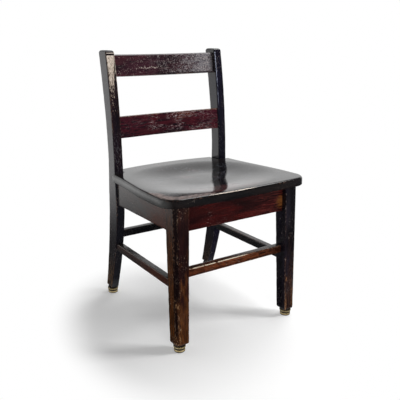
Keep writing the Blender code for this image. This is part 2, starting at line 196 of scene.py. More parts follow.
# Where the front and back rails lie
frontApronY = legFrontY(seat["underHeight"] - rails["frontApronHeight"] / 2) + rails["frontApronSetback"]
frontApronZ = seatUnderZ(frontApronY + rails["apronThickness"]) - chair["gap"] - rails["frontApronHeight"]
backApronY = postStraightY(seat["underHeight"] - rails["backApronHeight"] / 2) + rails["backApronSetback"]
backApronZ = seatUnderZ(backApronY + rails["apronThickness"]) - chair["gap"] - rails["backApronHeight"]
halfBar = rails["stretcherHeight"] / 2
frontStretcherY = legFrontY(rails["frontLevel"] + halfBar) + rails["frontStretcherSetback"]
backStretcherY = postFrontY(rails["backLevel"] + halfBar) + rails["backStretcherSetback"]


class Value:
    # a number that the nodes work out at each point
    def __init__(self, work, socket):
        self.work = work
        self.socket = socket

    def __add__(self, other):
        return self.work.maths("ADD", self, other)

    def __sub__(self, other):
        return self.work.maths("SUBTRACT", self, other)

    def __mul__(self, other):
        return self.work.maths("MULTIPLY", self, other)

    def __abs__(self):
        return self.work.maths("ABSOLUTE", self)

    def span(self, low, high, bottom=0.0, top=1.0):
        # bottom up to low, top from high on, and smooth between them
        inputs = {"Value": self, "From Min": low, "From Max": high, "To Min": bottom, "To Max": top}
        node = self.work.add("MapRange", inputs, interpolation_type="SMOOTHSTEP")
        return Value(self.work, node.outputs["Result"])

    def sway(self, reach):
        # noise made into a shift to either side
        return self.span(0.3, 0.7, -reach, reach)

    def near(self, place, reach):
        # 1 at one place, 0 further away than the reach
        return abs(self - place).span(reach, 0.0)


def most(first, *others):
    for other in others:
        first = first.work.maths("MAXIMUM", first, other)
    return first


class NodeWork:
    # nodes of a material or of the world, each added and joined in one step; rates are marks per metre
    def __init__(self, owner, placeName):
        owner.use_nodes = True
        self.tree = owner.node_tree
        coords = self.add("TexCoord")
        self.place = coords.outputs[placeName]
        self.x, self.y, self.z = self.parts(self.place)
        self.faceX, self.faceY, self.faceZ = self.parts(coords.outputs["Normal"])

    def parts(self, vector):
        return [Value(self, socket) for socket in self.add("SeparateXYZ", {0: vector}).outputs]

    def add(self, kind, inputs=None, **settings):
        node = self.tree.nodes.new("ShaderNode" + kind)
        for key, value in settings.items():
            setattr(node, key, value)
        for key, value in (inputs or {}).items():
            self.feed(node.inputs[key], value)
        return node

    def feed(self, socket, value):
        if isinstance(value, Value):
            value = value.socket
        if isinstance(value, bpy.types.NodeSocket):
            self.tree.links.new(value, socket)
        else:
            socket.default_value = value

    def maths(self, operation, first, second=0.0, limited=False):
        node = self.add("Math", {0: first, 1: second}, operation=operation, use_clamp=limited)
        return Value(self, node.outputs[0])

    def vector(self, operation, first, second=(0.0, 0.0, 0.0)):
        node = self.add("VectorMath", {0: first, 1: second}, operation=operation)
        if operation in ("LENGTH", "DOT_PRODUCT"):
            return Value(self, node.outputs["Value"])
        return node.outputs[0]


class Finish(NodeWork):
    # a material that is built up from its first texture to its last, with the colors of its look
    def __init__(self, name, look):
        self.material = bpy.data.materials.new(name)
        super().__init__(self.material, "Object")
        self.shader = self.tree.nodes["Principled BSDF"]
        self.look = look
        self.color = None

    def speckle(self, rate, detail=2.0, rough=0.5, bend=0.0, shift=0.0):
        # noise, with one rate for all three axes or one for each
        rates = rate if isinstance(rate, tuple) else (rate, rate, rate)
        moved = self.add("Mapping", {"Vector": self.place, "Scale": rates,
                                     "Location": (shift, shift * 0.7, shift * 1.3)})
        node = self.add("TexNoise", {"Vector": moved.outputs[0], "Scale": 1.0, "Detail": detail,
                                     "Roughness": rough, "Distortion": bend})
        return Value(self, node.outputs["Fac"])

    def grain(self, across, lengthwise, *settings):
        # noise that is drawn out along the wood
        rates = [across, across, across]
        rates["xyz".index(self.look["along"])] = lengthwise
        return self.speckle(tuple(rates), *settings)

    def attribute(self, name):
        return Value(self, self.add("Attribute", attribute_name=name).outputs["Fac"])

    def spot(self, centre, reach):
        # 1 in the middle of an oval, 0 outside it
        scaled = self.vector("DIVIDE", self.vector("SUBTRACT", self.place, centre), reach)
        return self.vector("LENGTH", scaled).span(1.0, 0.0)

    def bump(self, height, distance, strength=1.0, below=None):
        inputs = {"Height": height, "Distance": distance, "Strength": strength}
        if below is not None:
            inputs["Normal"] = below
        return self.add("Bump", inputs).outputs[0]

    def blend(self, share, first, second, mode="MIX"):
        # of two colors, each a socket or a name in the look
        node = self.add("Mix", data_type="RGBA", blend_type=mode)
        self.feed(node.inputs["Factor"], share)
        for socket, color in ((node.inputs[6], first), (node.inputs[7], second)):
            self.feed(socket, (*self.look[color], 1.0) if isinstance(color, str) else color)
        return node.outputs[2]

    def paint(self, share, color):
        # lays one more color over what is there
        self.color = self.blend(share, self.color, color)

    def show(self, inputs):
        for key, value in inputs.items():
            self.feed(self.shader.inputs[key], value)
        return self.material


# What a user would change about the old varnish; a piece's own values come on top of these
varnish = {
    "along": "z",
    "deep": (0.0045, 0.0035, 0.0055),
    "stain": (0.014, 0.006, 0.007),
    "warm": (0.045, 0.013, 0.01),
    "bare": (0.26, 0.13, 0.07),
    "pale": (0.52, 0.43, 0.38),
    "dustAndSheen": (0.11, 0.112, 0.11),
    "lift": (2.1, 1.8, 1.7),  # how much brighter the pale streaks of the wood are
    "warmth": 0.4,
    "chips": 0.55,
    "chipSpread": 0.56,
    "edgeWear": 0.6,
    "dustAmount": 0.5,
    "gloss": 0.14,
    "dull": 0.4,  # roughness that bare wood adds
    "ripple": 0.0001,  # depths in metres
    "streakDepth": 0.00006,
    "bareDepth": 0.0003,
}


def chipMarks(coat, spread):
    # small and larger places where the varnish came off, in loose clusters
    field = coat.speckle(15, 2, 0.5, 0, 11)
    small = coat.grain(470, 260, 2, 0.5, 0, 16)
    large = coat.grain(230, 105, 3, 0.65, 0.3, 20)
    dots = most(small.span(0.655, 0.69), large.span(0.65, 0.68))
    return dots * field.span(spread - 0.06, spread + 0.08)


def edgeMarks(coat):
    # rubbed lines and rows of nicks along the long edges
    edge = coat.attribute("edge")
    nicks = coat.grain(250, 130, 3, 0.65, 0.3, 2.2)
    runs = coat.grain(14, 9, 2, 0.5, 0, 8.8)
    worn = edge * 0.6 + nicks.span(0.32, 0.68, 0.0, 0.55) + runs.span(0.36, 0.64, -0.26, 0.08)
    return worn.span(0.72, 0.82) * edge.span(0.08, 0.4)


def wornVarnish(name, look, details=None):
    look = {**varnish, **look}
    coat = Finish(name, look)
    clouds = coat.grain(26, 7, 3, 0.55, 0.3, 3.1)
    glow = coat.grain(34, 5, 2, 0.5, 0.2, 6.1)
    streaks = coat.grain(330, 9, 4, 0.6, 0.4, 7.7)
    pores = coat.grain(1500, 60, 2, 0.6, 0, 1.7)
    coat.color = coat.blend(clouds.span(0.38, 0.6), "deep", "stain")
    coat.paint(glow.span(0.42, 0.66) * look["warmth"], "warm")
    lit = coat.blend(1.0, coat.color, "lift", "MULTIPLY")
    coat.paint(streaks.span(0.34, 0.7, 0.0, 0.6), lit)
    coat.paint(pores.span(0.6, 0.72, 0.0, 0.45), "deep")

    # painted sheen with some dust: grey on the faces that look to the left, more higher up, standing in for
    # their reflection of the bright room
    leftSheen = coat.faceX.span(-0.55, -0.95) * look["dustAmount"] * coat.z.span(0.12, 0.46, 0.6, 1.0)
    coat.paint(leftSheen * clouds.span(0.3, 0.62, 0.8, 1.0), "dustAndSheen")

    bareness = details(coat, look) if details else 0.0
    worn = edgeMarks(coat) * look["edgeWear"]
    chips = chipMarks(coat, look["chipSpread"]) * look["chips"]
    tone = coat.speckle(120, 1, 0.5, 0, 14)
    coat.paint(worn, coat.blend(tone.span(0.5, 0.72), "bare", "pale"))
    coat.paint(chips, "pale")

    bareness = most(worn, chips, bareness)
    smears = coat.speckle(30, 3, 0.6, 0.5, 4.4)
    rough = smears.span(0.35, 0.7, look["gloss"] * 0.75, look["gloss"] * 1.5)
    rough = coat.maths("ADD", rough, bareness * look["dull"], True)
    normal = coat.bump(coat.speckle(170, 2, 0.5, 0, 6.6), look["ripple"], 0.5)
    normal = coat.bump(streaks.span(0.3, 0.8), look["streakDepth"], 0.6, normal)
    normal = coat.bump(bareness, look["bareDepth"], -0.6, normal)
    return coat.show({"Base Color": coat.color, "Roughness": rough, "Normal": normal})


# Each function below adds what one kind of piece shows of its own, and gives back how bare it makes the wood
def legDetails(coat, look):
    # the legs go from dark to a warm worn brown towards the floor, most of all beside the chamfer
    height = coat.z + coat.grain(70, 16, 4, 0.65, 0.4, 12.6).sway(0.09)
    grain = coat.grain(300, 26, 4, 0.65, 0.3, 3.9)
    brown = coat.blend(grain.span(0.36, 0.66), "brownDark", "brownPale")
    front = coat.faceY.span(-0.45, -0.85)
    low = height.span(0.26, 0.08)
    high = height.span(0.375, 0.43, 0.0, look["topBrown"])
    beside = abs(coat.faceX).span(0.6, 0.9) * height.span(0.5, 0.2, 0.5, 1.0) * look["sideBrown"]
    coat.paint(most(front * most(low, high) * 0.85, beside), brown)
    corner = coat.attribute("corner")
    coat.paint(corner.span(0.55, 0.85) * height.span(0.05, 0.14) * 0.94, "deep")
    crumbs = coat.grain(260, 120, 4, 0.7, 0.5, 16.1)
    flaked = crumbs.span(0.54, 0.6) * height.span(0.17, 0.05) * corner
    if "lineX" in look:
        line = coat.x.near(look["lineX"], 0.0048) * height.span(0.15, 0.105)
        flaked = most(flaked, line * front * crumbs.span(0.48, 0.56))
    coat.paint(flaked, "tan")
    return flaked * 0.8


def postDetails(coat, look):
    # a few rubbed specks at sitting height, and grey on the rounded top: dust with a painted highlight
    tone = coat.grain(240, 90, 4, 0.7, 0.3, 1.9)
    specks = coat.faceY.span(-0.35, -0.7) * coat.z.near(0.5, 0.09) * tone.span(0.5, 0.62)
    # painted highlight with dust: grey on the upward faces of the top
    cap = coat.faceZ.span(0.3, 0.7) * coat.z.span(0.7, 0.8) * 0.8
    dustAndSheenMask = most(specks * look["specks"], cap)
    coat.paint(dustAndSheenMask, "dustAndSheen")
    # the feet are scuffed down to brown wood at their sides
    scuffs = coat.grain(230, 50, 4, 0.7, 0.4, 17)
    low = (coat.z + scuffs.sway(0.03)).span(0.17, 0.06) * coat.faceX.span(-0.3, -0.8)
    coat.paint(low * 0.9, coat.blend(scuffs.span(0.42, 0.62), "brownDark", "tan"))
    return most(dustAndSheenMask, low * 0.3)


def rightPostDetails(coat, look):
    # painted highlight: a long pale blue line along the front inner edge, standing in for the reflection on
    # its rounded corner
    bareness = postDetails(coat, look)
    breaks = coat.speckle(60, 4, 0.7, 0, 18)
    edgeHighlight = coat.x.near(postInnerX + 0.0042, 0.0024) * coat.faceY.span(-0.35, -0.7)
    edgeHighlight = edgeHighlight * coat.z.span(0.6, 0.7) * coat.z.span(0.8075, 0.805) * breaks.span(0.34, 0.56)
    coat.paint(edgeHighlight, "highlightBlue")
    return most(bareness, edgeHighlight * 0.5)


def leftPostDetails(coat, look):
    # painted shade: bluish on the faces that look left, below the seat, out of the light
    shade = coat.z.span(0.45, 0.425) * coat.faceX.span(-0.8, -0.3)
    coat.paint(shade * 0.75, "navy")
    bareness = postDetails(coat, look)
    # the front is rubbed to bare silvery wood at the top, inside a dark line left along its edges
    ragged = coat.grain(150, 45, 5, 0.75, 0.6, 9.1)
    tone = coat.grain(380, 110, 4, 0.75, 0.4, 1.9)
    front = coat.faceY.span(-0.35, -0.7)
    z = coat.z
    height = z + ragged.sway(0.045)
    x = coat.x + ragged.sway(0.0015)
    inner = x + z.span(0.8, 0.7, 0.0, 0.008)
    rubbed = (height + tone.sway(0.05)).span(0.69, 0.74) * front * z.span(0.803, 0.8005)
    rubbed = rubbed * x.span(-0.2135, -0.211) * inner.span(-0.1868, -0.19)
    rubbed = most(rubbed, x.near(-0.1862, 0.0016) * front * height.span(0.725, 0.76) * 0.8)
    silver = coat.blend(tone.span(0.4, 0.56), "silverDark", "silverPale")
    silver = coat.blend(height.span(0.775, 0.72, 0.0, 0.55), silver, "silverDark")
    coat.paint(rubbed, silver)
    coat.paint(front * height.span(0.56, 0.7) * tone.span(0.54, 0.66) * 0.22, "bare")
    # painted highlight: a thin pale line along the front just under the rounded top
    ledgeHighlight = z.near(0.8086, 0.0016) * front * coat.x.span(-0.2125, -0.2105)
    coat.paint(ledgeHighlight, "silverPale")
    return most(bareness, rubbed * 0.9, ledgeHighlight)


def slatDetails(coat, look):
    # dark patches, and scratches that run with the slat
    patches = coat.grain(150, 34, 4, 0.65, 0.3, 19)
    coat.paint(patches.span(0.5, 0.36, 0.0, look["patches"]), "dark")
    scratches = coat.grain(600, 70, 4, 0.7, 0.2, 21)
    cross = coat.grain(380, 150, 4, 0.7, 0.3, 23)
    field = coat.speckle((16, 20, 34), 2, 0.5, 0, 25)
    lines = most(scratches.span(0.56, 0.61), cross.span(0.6, 0.64)) * field.span(0.42, 0.58)
    lines = lines * coat.x.near(0.03, 0.21) * look["scratches"]
    coat.paint(lines, "scratchColor")
    return lines * 0.7


def topSlatDetails(coat, look):
    scratched = slatDetails(coat, look)
    # painted sheen: grey towards the right end, standing in for a broad reflection on the slat
    sheenDrift = coat.speckle(34, 3, 0.6, 0.6, 27)
    sheenGrain = coat.speckle(250, 4, 0.75, 0, 29)
    reach = coat.x + sheenDrift.sway(0.06) + sheenGrain.sway(0.09)
    greySheen = reach.span(look["bloomStart"], look["bloomEnd"]) * coat.faceY.span(-0.4, -0.8)
    greySheen = greySheen * sheenGrain.span(0.36, 0.52, 0.35, 1.0)
    coat.paint(greySheen, "sheenColor")
    coat.paint(greySheen * sheenGrain.span(0.54, 0.62) * 0.45, "pale")
    # one wavering pale scratch across the middle of the slat
    wave = coat.grain(3, 120, 3, 0.6, 0, 31)
    breaks = coat.speckle((340, 220, 340), 3, 0.6, 0.6, 33)
    height = coat.z + wave.sway(0.0028) + breaks.sway(0.003)
    line = height.near(0.7625, 0.0028) * coat.x.near(-0.06, 0.075) * breaks.span(0.49, 0.57)
    line = line.span(0.14, 0.4)
    coat.paint(line, "pale")
    # painted shade: dark along the lower edge and at the right end, where the slat meets the post
    shade = most(coat.z.span(0.744, 0.7405) * coat.x.span(-0.06, 0.04), coat.x.span(0.18, 0.183))
    coat.paint(shade * 0.85, "deep")
    return most(scratched, greySheen * 0.6, line)


def lowerSlatDetails(coat, look):
    # thin orange varnish near the upper edge, right of the middle
    blotch = coat.grain(120, 50, 4, 0.7, 0.6, 35)
    orange = coat.spot((0.05, 0.205, 0.605), (0.075, 0.08, 0.026)) * blotch.span(0.38, 0.58)
    coat.paint(orange, "thin")
    return slatDetails(coat, look)


def apronDetails(coat, look):
    # darker where it meets the left leg, orange where the varnish is thin at the right end
    x = coat.x + coat.speckle(60, 3, 0.6, 0.6, 41).sway(0.012)
    coat.paint(x.span(-0.06, -0.165) * 0.62, "deep")
    grain = coat.grain(300, 22, 4, 0.7, 0.5, 43)
    coat.paint(x.span(0.02, 0.12) * grain.span(0.46, 0.6) * 0.6, "bright")
    thin = coat.spot((0.17, frontApronY, 0.378), (0.034, 0.04, 0.034)) * grain.span(0.34, 0.56, 0.15, 1.0)
    coat.paint(thin.span(0.0, 0.85), "thin")
    return 0.0


def stretcherDetails(coat, look):
    # a bare line along the front stretcher's upper edge, and grey on its top: dust with a painted sheen
    gaps = coat.speckle(45, 3, 0.6, 0, 51)
    top = rails["frontLevel"] + rails["stretcherHeight"]
    line = coat.z.span(top - 0.0026, top - 0.0012) * coat.y.near(frontStretcherY, 0.0042)
    line = (line * coat.x.span(0.1, -0.02) * gaps.span(0.3, 0.46)).span(0.2, 0.55)
    stains = coat.grain(120, 38, 4, 0.7, 0.4, 52)
    dark = stains.span(0.56, 0.4, 0.0, 0.7) + coat.x.span(0.04, 0.15, 0.0, 0.5)
    coat.paint(coat.maths("MINIMUM", dark, 0.85), "deep")
    coat.paint(line, "cream")
    # painted sheen with dust: grey on the upward faces, more to the right
    grit = coat.speckle(190, 4, 0.7, 0, 53)
    dustAndSheenMask = coat.faceZ.span(0.75, 0.95) * grit.span(0.34, 0.64, 0.35, 1.0)
    dustAndSheenMask = dustAndSheenMask * coat.x.span(-0.06, 0.06, 0.25, 1.0)
    coat.paint(dustAndSheenMask * look["topDust"], "dustAndSheen")
    return most(line, dustAndSheenMask * 0.35)


def sideDetails(coat, look):
    # the rails at the sides are redder outside towards the front; painted shade makes them blackish inside,
    # under the seat, and dust with a painted sheen makes them grey on top
    y = coat.y + coat.grain(40, 14, 3, 0.6, 0.4, 61).sway(0.04)
    outward = coat.faceX * coat.x
    coat.paint(y.span(0.02, -0.14) * outward.span(0.1, 0.15) * look["redness"], "warm")
    # painted shade: blackish on the faces that look inward, under the seat
    coat.paint(outward.span(-0.1, -0.15, 0.0, 0.8), "inside")
    # painted sheen with dust: grey on the upward faces
    grit = coat.grain(190, 150, 4, 0.7, 0, 63)
    dustAndSheenMask = coat.faceZ.span(0.75, 0.95) * grit.span(0.34, 0.64, 0.45, 1.0)
    coat.paint(dustAndSheenMask * look["topDust"], "dustAndSheen")
    return dustAndSheenMask * 0.4


def seatDetails(coat, look):
    # a rubbed, streaky band round the front left corner
    x = coat.x
    y = coat.y
    rim = coat.attribute("rim")
    upward = coat.faceZ.span(0.55, 0.9)
    streaks = coat.grain(300, 80, 4, 0.75, 0.6, 71)
    corner = x.span(-0.06, -0.15) * y.span(-0.11, -0.165)
    width = corner * 0.034 + streaks.sway(0.006)
    band = (width - rim).span(-0.002, 0.003) * upward * corner.span(0.02, 0.15) * rim.span(0.0035, 0.006)
    coat.paint(band * 0.9, coat.blend(streaks.span(0.46, 0.55), "rubbedDark", "rubbedPale"))
    # reddish wear behind the front edge, and fine scuffs all over the dish
    specks = coat.speckle(210, 4, 0.75, 0.6, 75)
    fields = coat.speckle(17, 3, 0.6, 0.4, 79)
    warm = (y.span(-0.11, -0.175) + fields.sway(0.9)).span(0.45, 1.1) * x.near(-0.02, 0.17)
    coat.paint(warm * rim.span(0.01, 0.025) * specks.span(0.42, 0.54) * upward, "warmRub")
    net = coat.speckle((75, 45, 60), 2, 0.5, 0.3, 77)
    scuffs = net.near(0.5, 0.03) * fields.span(0.44, 0.6) * rim.span(0.02, 0.05)
    coat.paint(scuffs * specks.span(0.36, 0.56) * upward, "scuff")
    # a bright line along the front edge
    gaps = coat.speckle(60, 3, 0.6, 0, 73)
    line = rim.near(0.003, 0.002) * x.near(-0.04, 0.12) * x.span(-0.15, -0.12)
    line = (line * y.span(-0.16, -0.19) * gaps.span(0.3, 0.5)).span(0.15, 0.45)
    coat.paint(line, "cream")
    return most(band * 0.55, line)


fittings = {
    "along": "x",
    "brassDark": (0.5, 0.34, 0.14),
    "brassBright": (1.0, 0.84, 0.48),
    "tarnishAndShade": (0.02, 0.014, 0.01),
    "cleanRings": (0.006, 0.0162),  # levels at which the brass is left bright, between bands of painted shade and tarnish
    "ringReach": 0.0046,
    "steel": (0.33, 0.31, 0.29),
    "rust": (0.13, 0.07, 0.04),
    "blockDark": (0.17, 0.09, 0.045),
    "blockPale": (0.34, 0.2, 0.11),
    "blockStain": (0.1, 0.05, 0.03),
}


def brassFinish(name):
    coat = Finish(name, fittings)
    tone = coat.speckle(190, 4, 0.6, 0.2, 2)
    tarnishAndShade = coat.speckle(420, 3, 0.6, 0, 5)
    color = coat.blend(tone.span(0.3, 0.7), "brassDark", "brassBright")
    rings = most(*[coat.z.near(level, fittings["ringReach"]) for level in fittings["cleanRings"]])
    # painted shade with tarnish: dark bands under the wood, in the groove and at the floor, away from the
    # clean rings
    tarnishAndShadeMask = (rings.span(0.62, 0.28, 0.0, 0.6) + tarnishAndShade).span(0.58, 0.74)
    return coat.show({"Base Color": coat.blend(tarnishAndShadeMask, color, "tarnishAndShade"),
                      "Metallic": tarnishAndShadeMask.span(0.0, 1.0, 0.9, 0.2),
                      "Roughness": tone.span(0.3, 0.7, 0.28, 0.14),
                      "Normal": coat.bump(tarnishAndShade, 0.0002, 0.6)})


def steelFinish(name):
    coat = Finish(name, fittings)
    tone = coat.speckle(300, 4, 0.6, 0, 2)
    color = coat.blend(tone.span(0.4, 0.65), "steel", "rust")
    return coat.show({"Base Color": color, "Metallic": 1.0, "Roughness": tone.span(0.3, 0.7, 0.35, 0.65)})


def bareFinish(name):
    coat = Finish(name, fittings)
    streaks = coat.grain(400, 40, 4, 0.6, 0.5, 2)
    clouds = coat.grain(30, 20, 2, 0.5, 0.5, 4)
    color = coat.blend(streaks.span(0.3, 0.7), "blockDark", "blockPale")
    return coat.show({"Base Color": coat.blend(clouds.span(0.45, 0.7, 0.0, 0.6), color, "blockStain"),
                      "Roughness": streaks.span(0.3, 0.7, 0.55, 0.75),
                      "Normal": coat.bump(streaks, 0.0003, 0.6)})


# How finely the woodwork is meshed, and how much wood the wear takes off its edges
carving = {
    "rings": 0.006,
    "postRings": 0.007,
    "seatRings": 44,  # from the rim in to the seat's middle
    "edgeLoops": (0.0045, 0.0085),  # loops this far from each long edge carry the marks of wear
    "chamferEdge": 0.0012,
    "edgeReach": 0.0026,
    "cornerReach": 0.005,
    "legWear": 0.0007,
    "postWear": 0.0005,
    "railWear": 0.0004,
    "knockRate": 55.0,
}


def cutRings(bm, axis, places):
    # loops across one axis, at the given places
    direction = [0.0, 0.0, 0.0]
    direction[axis] = 1.0
    for place in places:
        point = [0.0, 0.0, 0.0]
        point[axis] = place
        parts = bm.verts[:] + bm.edges[:] + bm.faces[:]
        ops.bisect_plane(bm, geom=parts, dist=1e-7, plane_co=point, plane_no=direction)


def bevelEdges(bm, edges, width, segments):
    ops.bevel(bm, geom=edges, offset=width, affect="EDGES", segments=segments, profile=0.5, material=-1,
              clamp_overlap=True)


def roundEnd(bm, sign, size):
    # draws the end face out in steps, each a little smaller, so that the end is round on every side
    cap = max(bm.faces, key=lambda face: sign * face.calc_center_median().z)
    level = cap.calc_center_median().z
    half = [max(abs(v.co[axis]) for v in cap.verts) for axis in (0, 1)]
    inset = 0.0
    for step in range(1, 5):
        angle = step / 4 * math.pi / 2
        nextInset = size * (1.0 - math.cos(angle)) * 0.9
        drawn = ops.extrude_face_region(bm, geom=[cap])
        ops.delete(bm, geom=[cap], context="FACES_ONLY")
        cap = [item for item in drawn["geom"] if isinstance(item, bmesh.types.BMFace)][0]
        smaller = [(half[axis] - nextInset) / (half[axis] - inset) for axis in (0, 1)]
        for vert in cap.verts:
            vert.co.x *= smaller[0]
            vert.co.y *= smaller[1]
            vert.co.z = level + sign * size * math.sin(angle)
        inset = nextInset


def makeStick(width, depth, length, radii, spacing, startRound=0.0, endRound=0.0, flat=0.0):
    # upright block in the middle of x and y, from z = 0 up, with its long edges rounded one by one
    bm = bmesh.new()
    ops.create_cube(bm, size=1.0)
    ops.translate(bm, verts=bm.verts, vec=(0, 0, 0.5))
    ops.scale(bm, verts=bm.verts, vec=(width, depth, length - startRound - endRound))
    ops.translate(bm, verts=bm.verts, vec=(0, 0, startRound))
    corners = [(-1, -1), (1, -1), (1, 1), (-1, 1)]
    for (signX, signY), radius in zip(corners, radii):
        edges = longEdges(bm, lambda v: abs(v.co.x - signX * width / 2) < 1e-6
                          and abs(v.co.y - signY * depth / 2) < 1e-6)
        if radius == flat:
            bevelEdges(bm, edges, radius, 1)
            near = longEdges(bm, lambda v: v.co.x * signX > 0 and v.co.y * signY > 0)
            bevelEdges(bm, near, carving["chamferEdge"], 3)
        else:
            bevelEdges(bm, edges, radius, 3)
    if startRound:
        roundEnd(bm, -1, startRound)
    if endRound:
        roundEnd(bm, 1, endRound)
    steps = max(2, round(length / spacing))
    cutRings(bm, 2, [length * i / steps for i in range(1, steps)])
    for axis, size in ((0, width), (1, depth)):
        half = size / 2
        near = [half - gap for gap in carving["edgeLoops"]]
        places = [0.0] + [sign * place for place in near for sign in (-1, 1) if place > 0.003]
        cutRings(bm, axis, places)
    markEdges(bm, width, depth, flat)
    return bm


def longEdges(bm, wanted):
    upright = [e for e in bm.edges if abs(e.verts[0].co.z - e.verts[1].co.z) > 0.03]
    return [e for e in upright if all(map(wanted, e.verts))]


def markEdges(bm, width, depth, flat):
    # how near each point is to a long edge and to the cut corner, for the worn varnish there
    edgeLayer = bm.verts.layers.float.new("edge")
    cornerLayer = bm.verts.layers.float.new("corner")
    for vert in bm.verts:
        acrossGap = width / 2 - abs(vert.co.x)
        alongGap = depth / 2 - abs(vert.co.y)
        gap = math.hypot(acrossGap, alongGap) - 0.0007
        if flat and vert.co.x > 0 and vert.co.y < 0:
            gap = min(math.hypot(acrossGap - flat, alongGap), math.hypot(acrossGap, alongGap - flat))
            off = max(0.0, acrossGap + alongGap - flat * 1.05)
            vert[cornerLayer] = math.exp(-off / carving["cornerReach"])
        vert[edgeLayer] = math.exp(-max(0.0, gap) / carving["edgeReach"])


def addObject(name, data):
    thing = bpy.data.objects.new(name, data)
    bpy.context.scene.collection.objects.link(thing)
    return thing


def addMesh(name, bm, material):
    mesh = bpy.data.meshes.new(name)
    bm.to_mesh(mesh)
    bm.free()
    mesh.materials.append(material)
    return addObject(name, mesh)


def finishPiece(name, bm, material, nodes):
    ops.recalc_face_normals(bm, faces=bm.faces)
    piece = addMesh(name, bm, material)
    piece.data.shade_smooth()
    piece.data.set_sharp_from_angle(angle=math.radians(50.0))
    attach(piece, "root")
    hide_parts(*nodes)


def finishWood(node, bm, depth, material):
    # knocks and rubbing take a little wood off the edges, as deep as this at most
    layer = bm.verts.layers.float["edge"]
    bm.normal_update()
    ops.recalc_face_normals(bm, faces=bm.faces)
    bm.normal_update()
    for vert in bm.verts:
        place = vert.co * carving["knockRate"]
        bite = noise.noise(place) + 0.5 * noise.noise(place * 3.1)
        vert.co -= vert.normal * depth * vert[layer] * clamp(0.35 + bite)
    finishPiece(f"worn_{node}", bm, material, [node])


def makeLeg(side, word, material):
    width = leg["topWidth"]
    depth = leg["topDepth"]
    length = seat["underHeight"] - chair["floorToWood"]
    radii = [leg["edge"], leg["corner"], leg["edge"], leg["edge"]]
    bm = makeStick(width, depth, length, radii, carving["rings"], chair["footChamfer"], flat=leg["corner"])
    for vert in bm.verts:
        across = vert.co.x / width + 0.5
        along = vert.co.y / depth + 0.5
        rise = vert.co.z / length
        z = chair["floorToWood"] + rise * length
        y = legFrontY(z) + along * (legRearY(z) - legFrontY(z))
        x = legInnerX(z) + across * (leg["outerX"] - legInnerX(z))
        z += rise * (seatUnderZ(y) - chair["gap"] - seat["underHeight"])
        vert.co = (side * x, y, z)
    finishWood(f"front_leg_{word}", bm, carving["legWear"], material)


def makePost(side, word, material):
    width = post["width"]
    depth = post["topDepth"]
    length = chair["height"] - chair["floorToWood"]
    bm = makeStick(width, depth, length, [post["edge"]] * 4, carving["postRings"], chair["footChamfer"],
                   post["topRound"])
    for vert in bm.verts:
        across = vert.co.x / width + 0.5
        along = vert.co.y / depth + 0.5
        z = chair["floorToWood"] + vert.co.z
        curveZ = clamp(z, footEdgeZ, chair["height"] - post["topRound"])
        y = min(postFrontY(curveZ) + along * postDepth(curveZ), postFootRearY)
        x = postInnerX + across * (postOuterX(curveZ) - postInnerX)
        vert.co = (side * x, y, z)
    finishWood(f"back_post_{word}", bm, carving["postWear"], material)


def makeCrossRail(name, innerX, frontY, level, height, thickness, material):
    # from side to side between two legs or two posts
    half = innerX(level + height / 2) + chair["buried"]
    bm = makeStick(thickness, height, 2 * half, [rails["edge"]] * 4, carving["rings"])
    for vert in bm.verts:
        z = level + height / 2 + vert.co.y
        share = vert.co.z / half - 1.0
        x = share * (innerX(z) + chair["buried"])
        vert.co = (x, frontY + thickness / 2 + vert.co.x, z)
    finishWood(name, bm, carving["railWear"], material)


def makeSideRail(name, side, heightAt, height, thickness, material):
    # from a front leg back to a post; heightAt gives the lower edge at a place along it
    outerX = post["outerX"] - rails["sideSetback"]
    middle = heightAt(0.0) + height / 2
    start = legRearY(middle)
    length = postFrontY(middle) - start
    bm = makeStick(thickness, height, length, [rails["edge"]] * 4, carving["rings"])
    for vert in bm.verts:
        share = vert.co.z / length
        z = heightAt(start + share * length) + height / 2 + vert.co.y
        front = legRearY(z) - chair["buried"]
        back = postFrontY(z) + chair["buried"]
        x = outerX - thickness / 2 + vert.co.x
        vert.co = (side * x, front + share * (back - front), z)
    finishWood(name, bm, carving["railWear"], material)


def apronLevel(y):
    return seatUnderZ(y) - chair["gap"] - rails["sideApronHeight"]


def stretcherLevel(y):
    start = legRearY(rails["sideLevel"])
    end = postFrontY(rails["sideLevel"])
    return rails["sideLevel"] + rails["sideRise"] * clamp((end - y) / (end - start))


def makeSlat(name, level, height, setback, topRound, material):
    footY = postFrontY(level) + setback
    lean = math.atan2(postFrontY(level + height) - postFrontY(level), height)
    up = Vector((0.0, math.sin(lean), math.cos(lean)))
    back = Vector((0.0, math.cos(lean), -math.sin(lean)))
    tall = height / math.cos(lean)
    thickness = slats["thickness"]
    half = postInnerX + chair["buried"]
    radii = [rails["edge"], rails["edge"], rails["edge"], topRound]
    bm = makeStick(thickness, tall, 2 * half, radii, carving["rings"])
    for vert in bm.verts:
        x = vert.co.z - half
        bow = slats["bow"] * (1.0 - (x / postInnerX) ** 2)
        place = Vector((x, footY, level)) + up * (vert.co.y + tall / 2)
        vert.co = place + back * (vert.co.x + thickness / 2 + bow)
    finishWood(name, bm, carving["railWear"], material)


def seatHalfWidth(reach):
    notch = postStraightY(seat["underHeight"]) - seatFrontY
    share = clamp((notch - reach) / seat["flareLength"])
    return (seat["rearWidth"] + (seat["frontWidth"] - seat["rearWidth"]) * easeBoth(share)) / 2


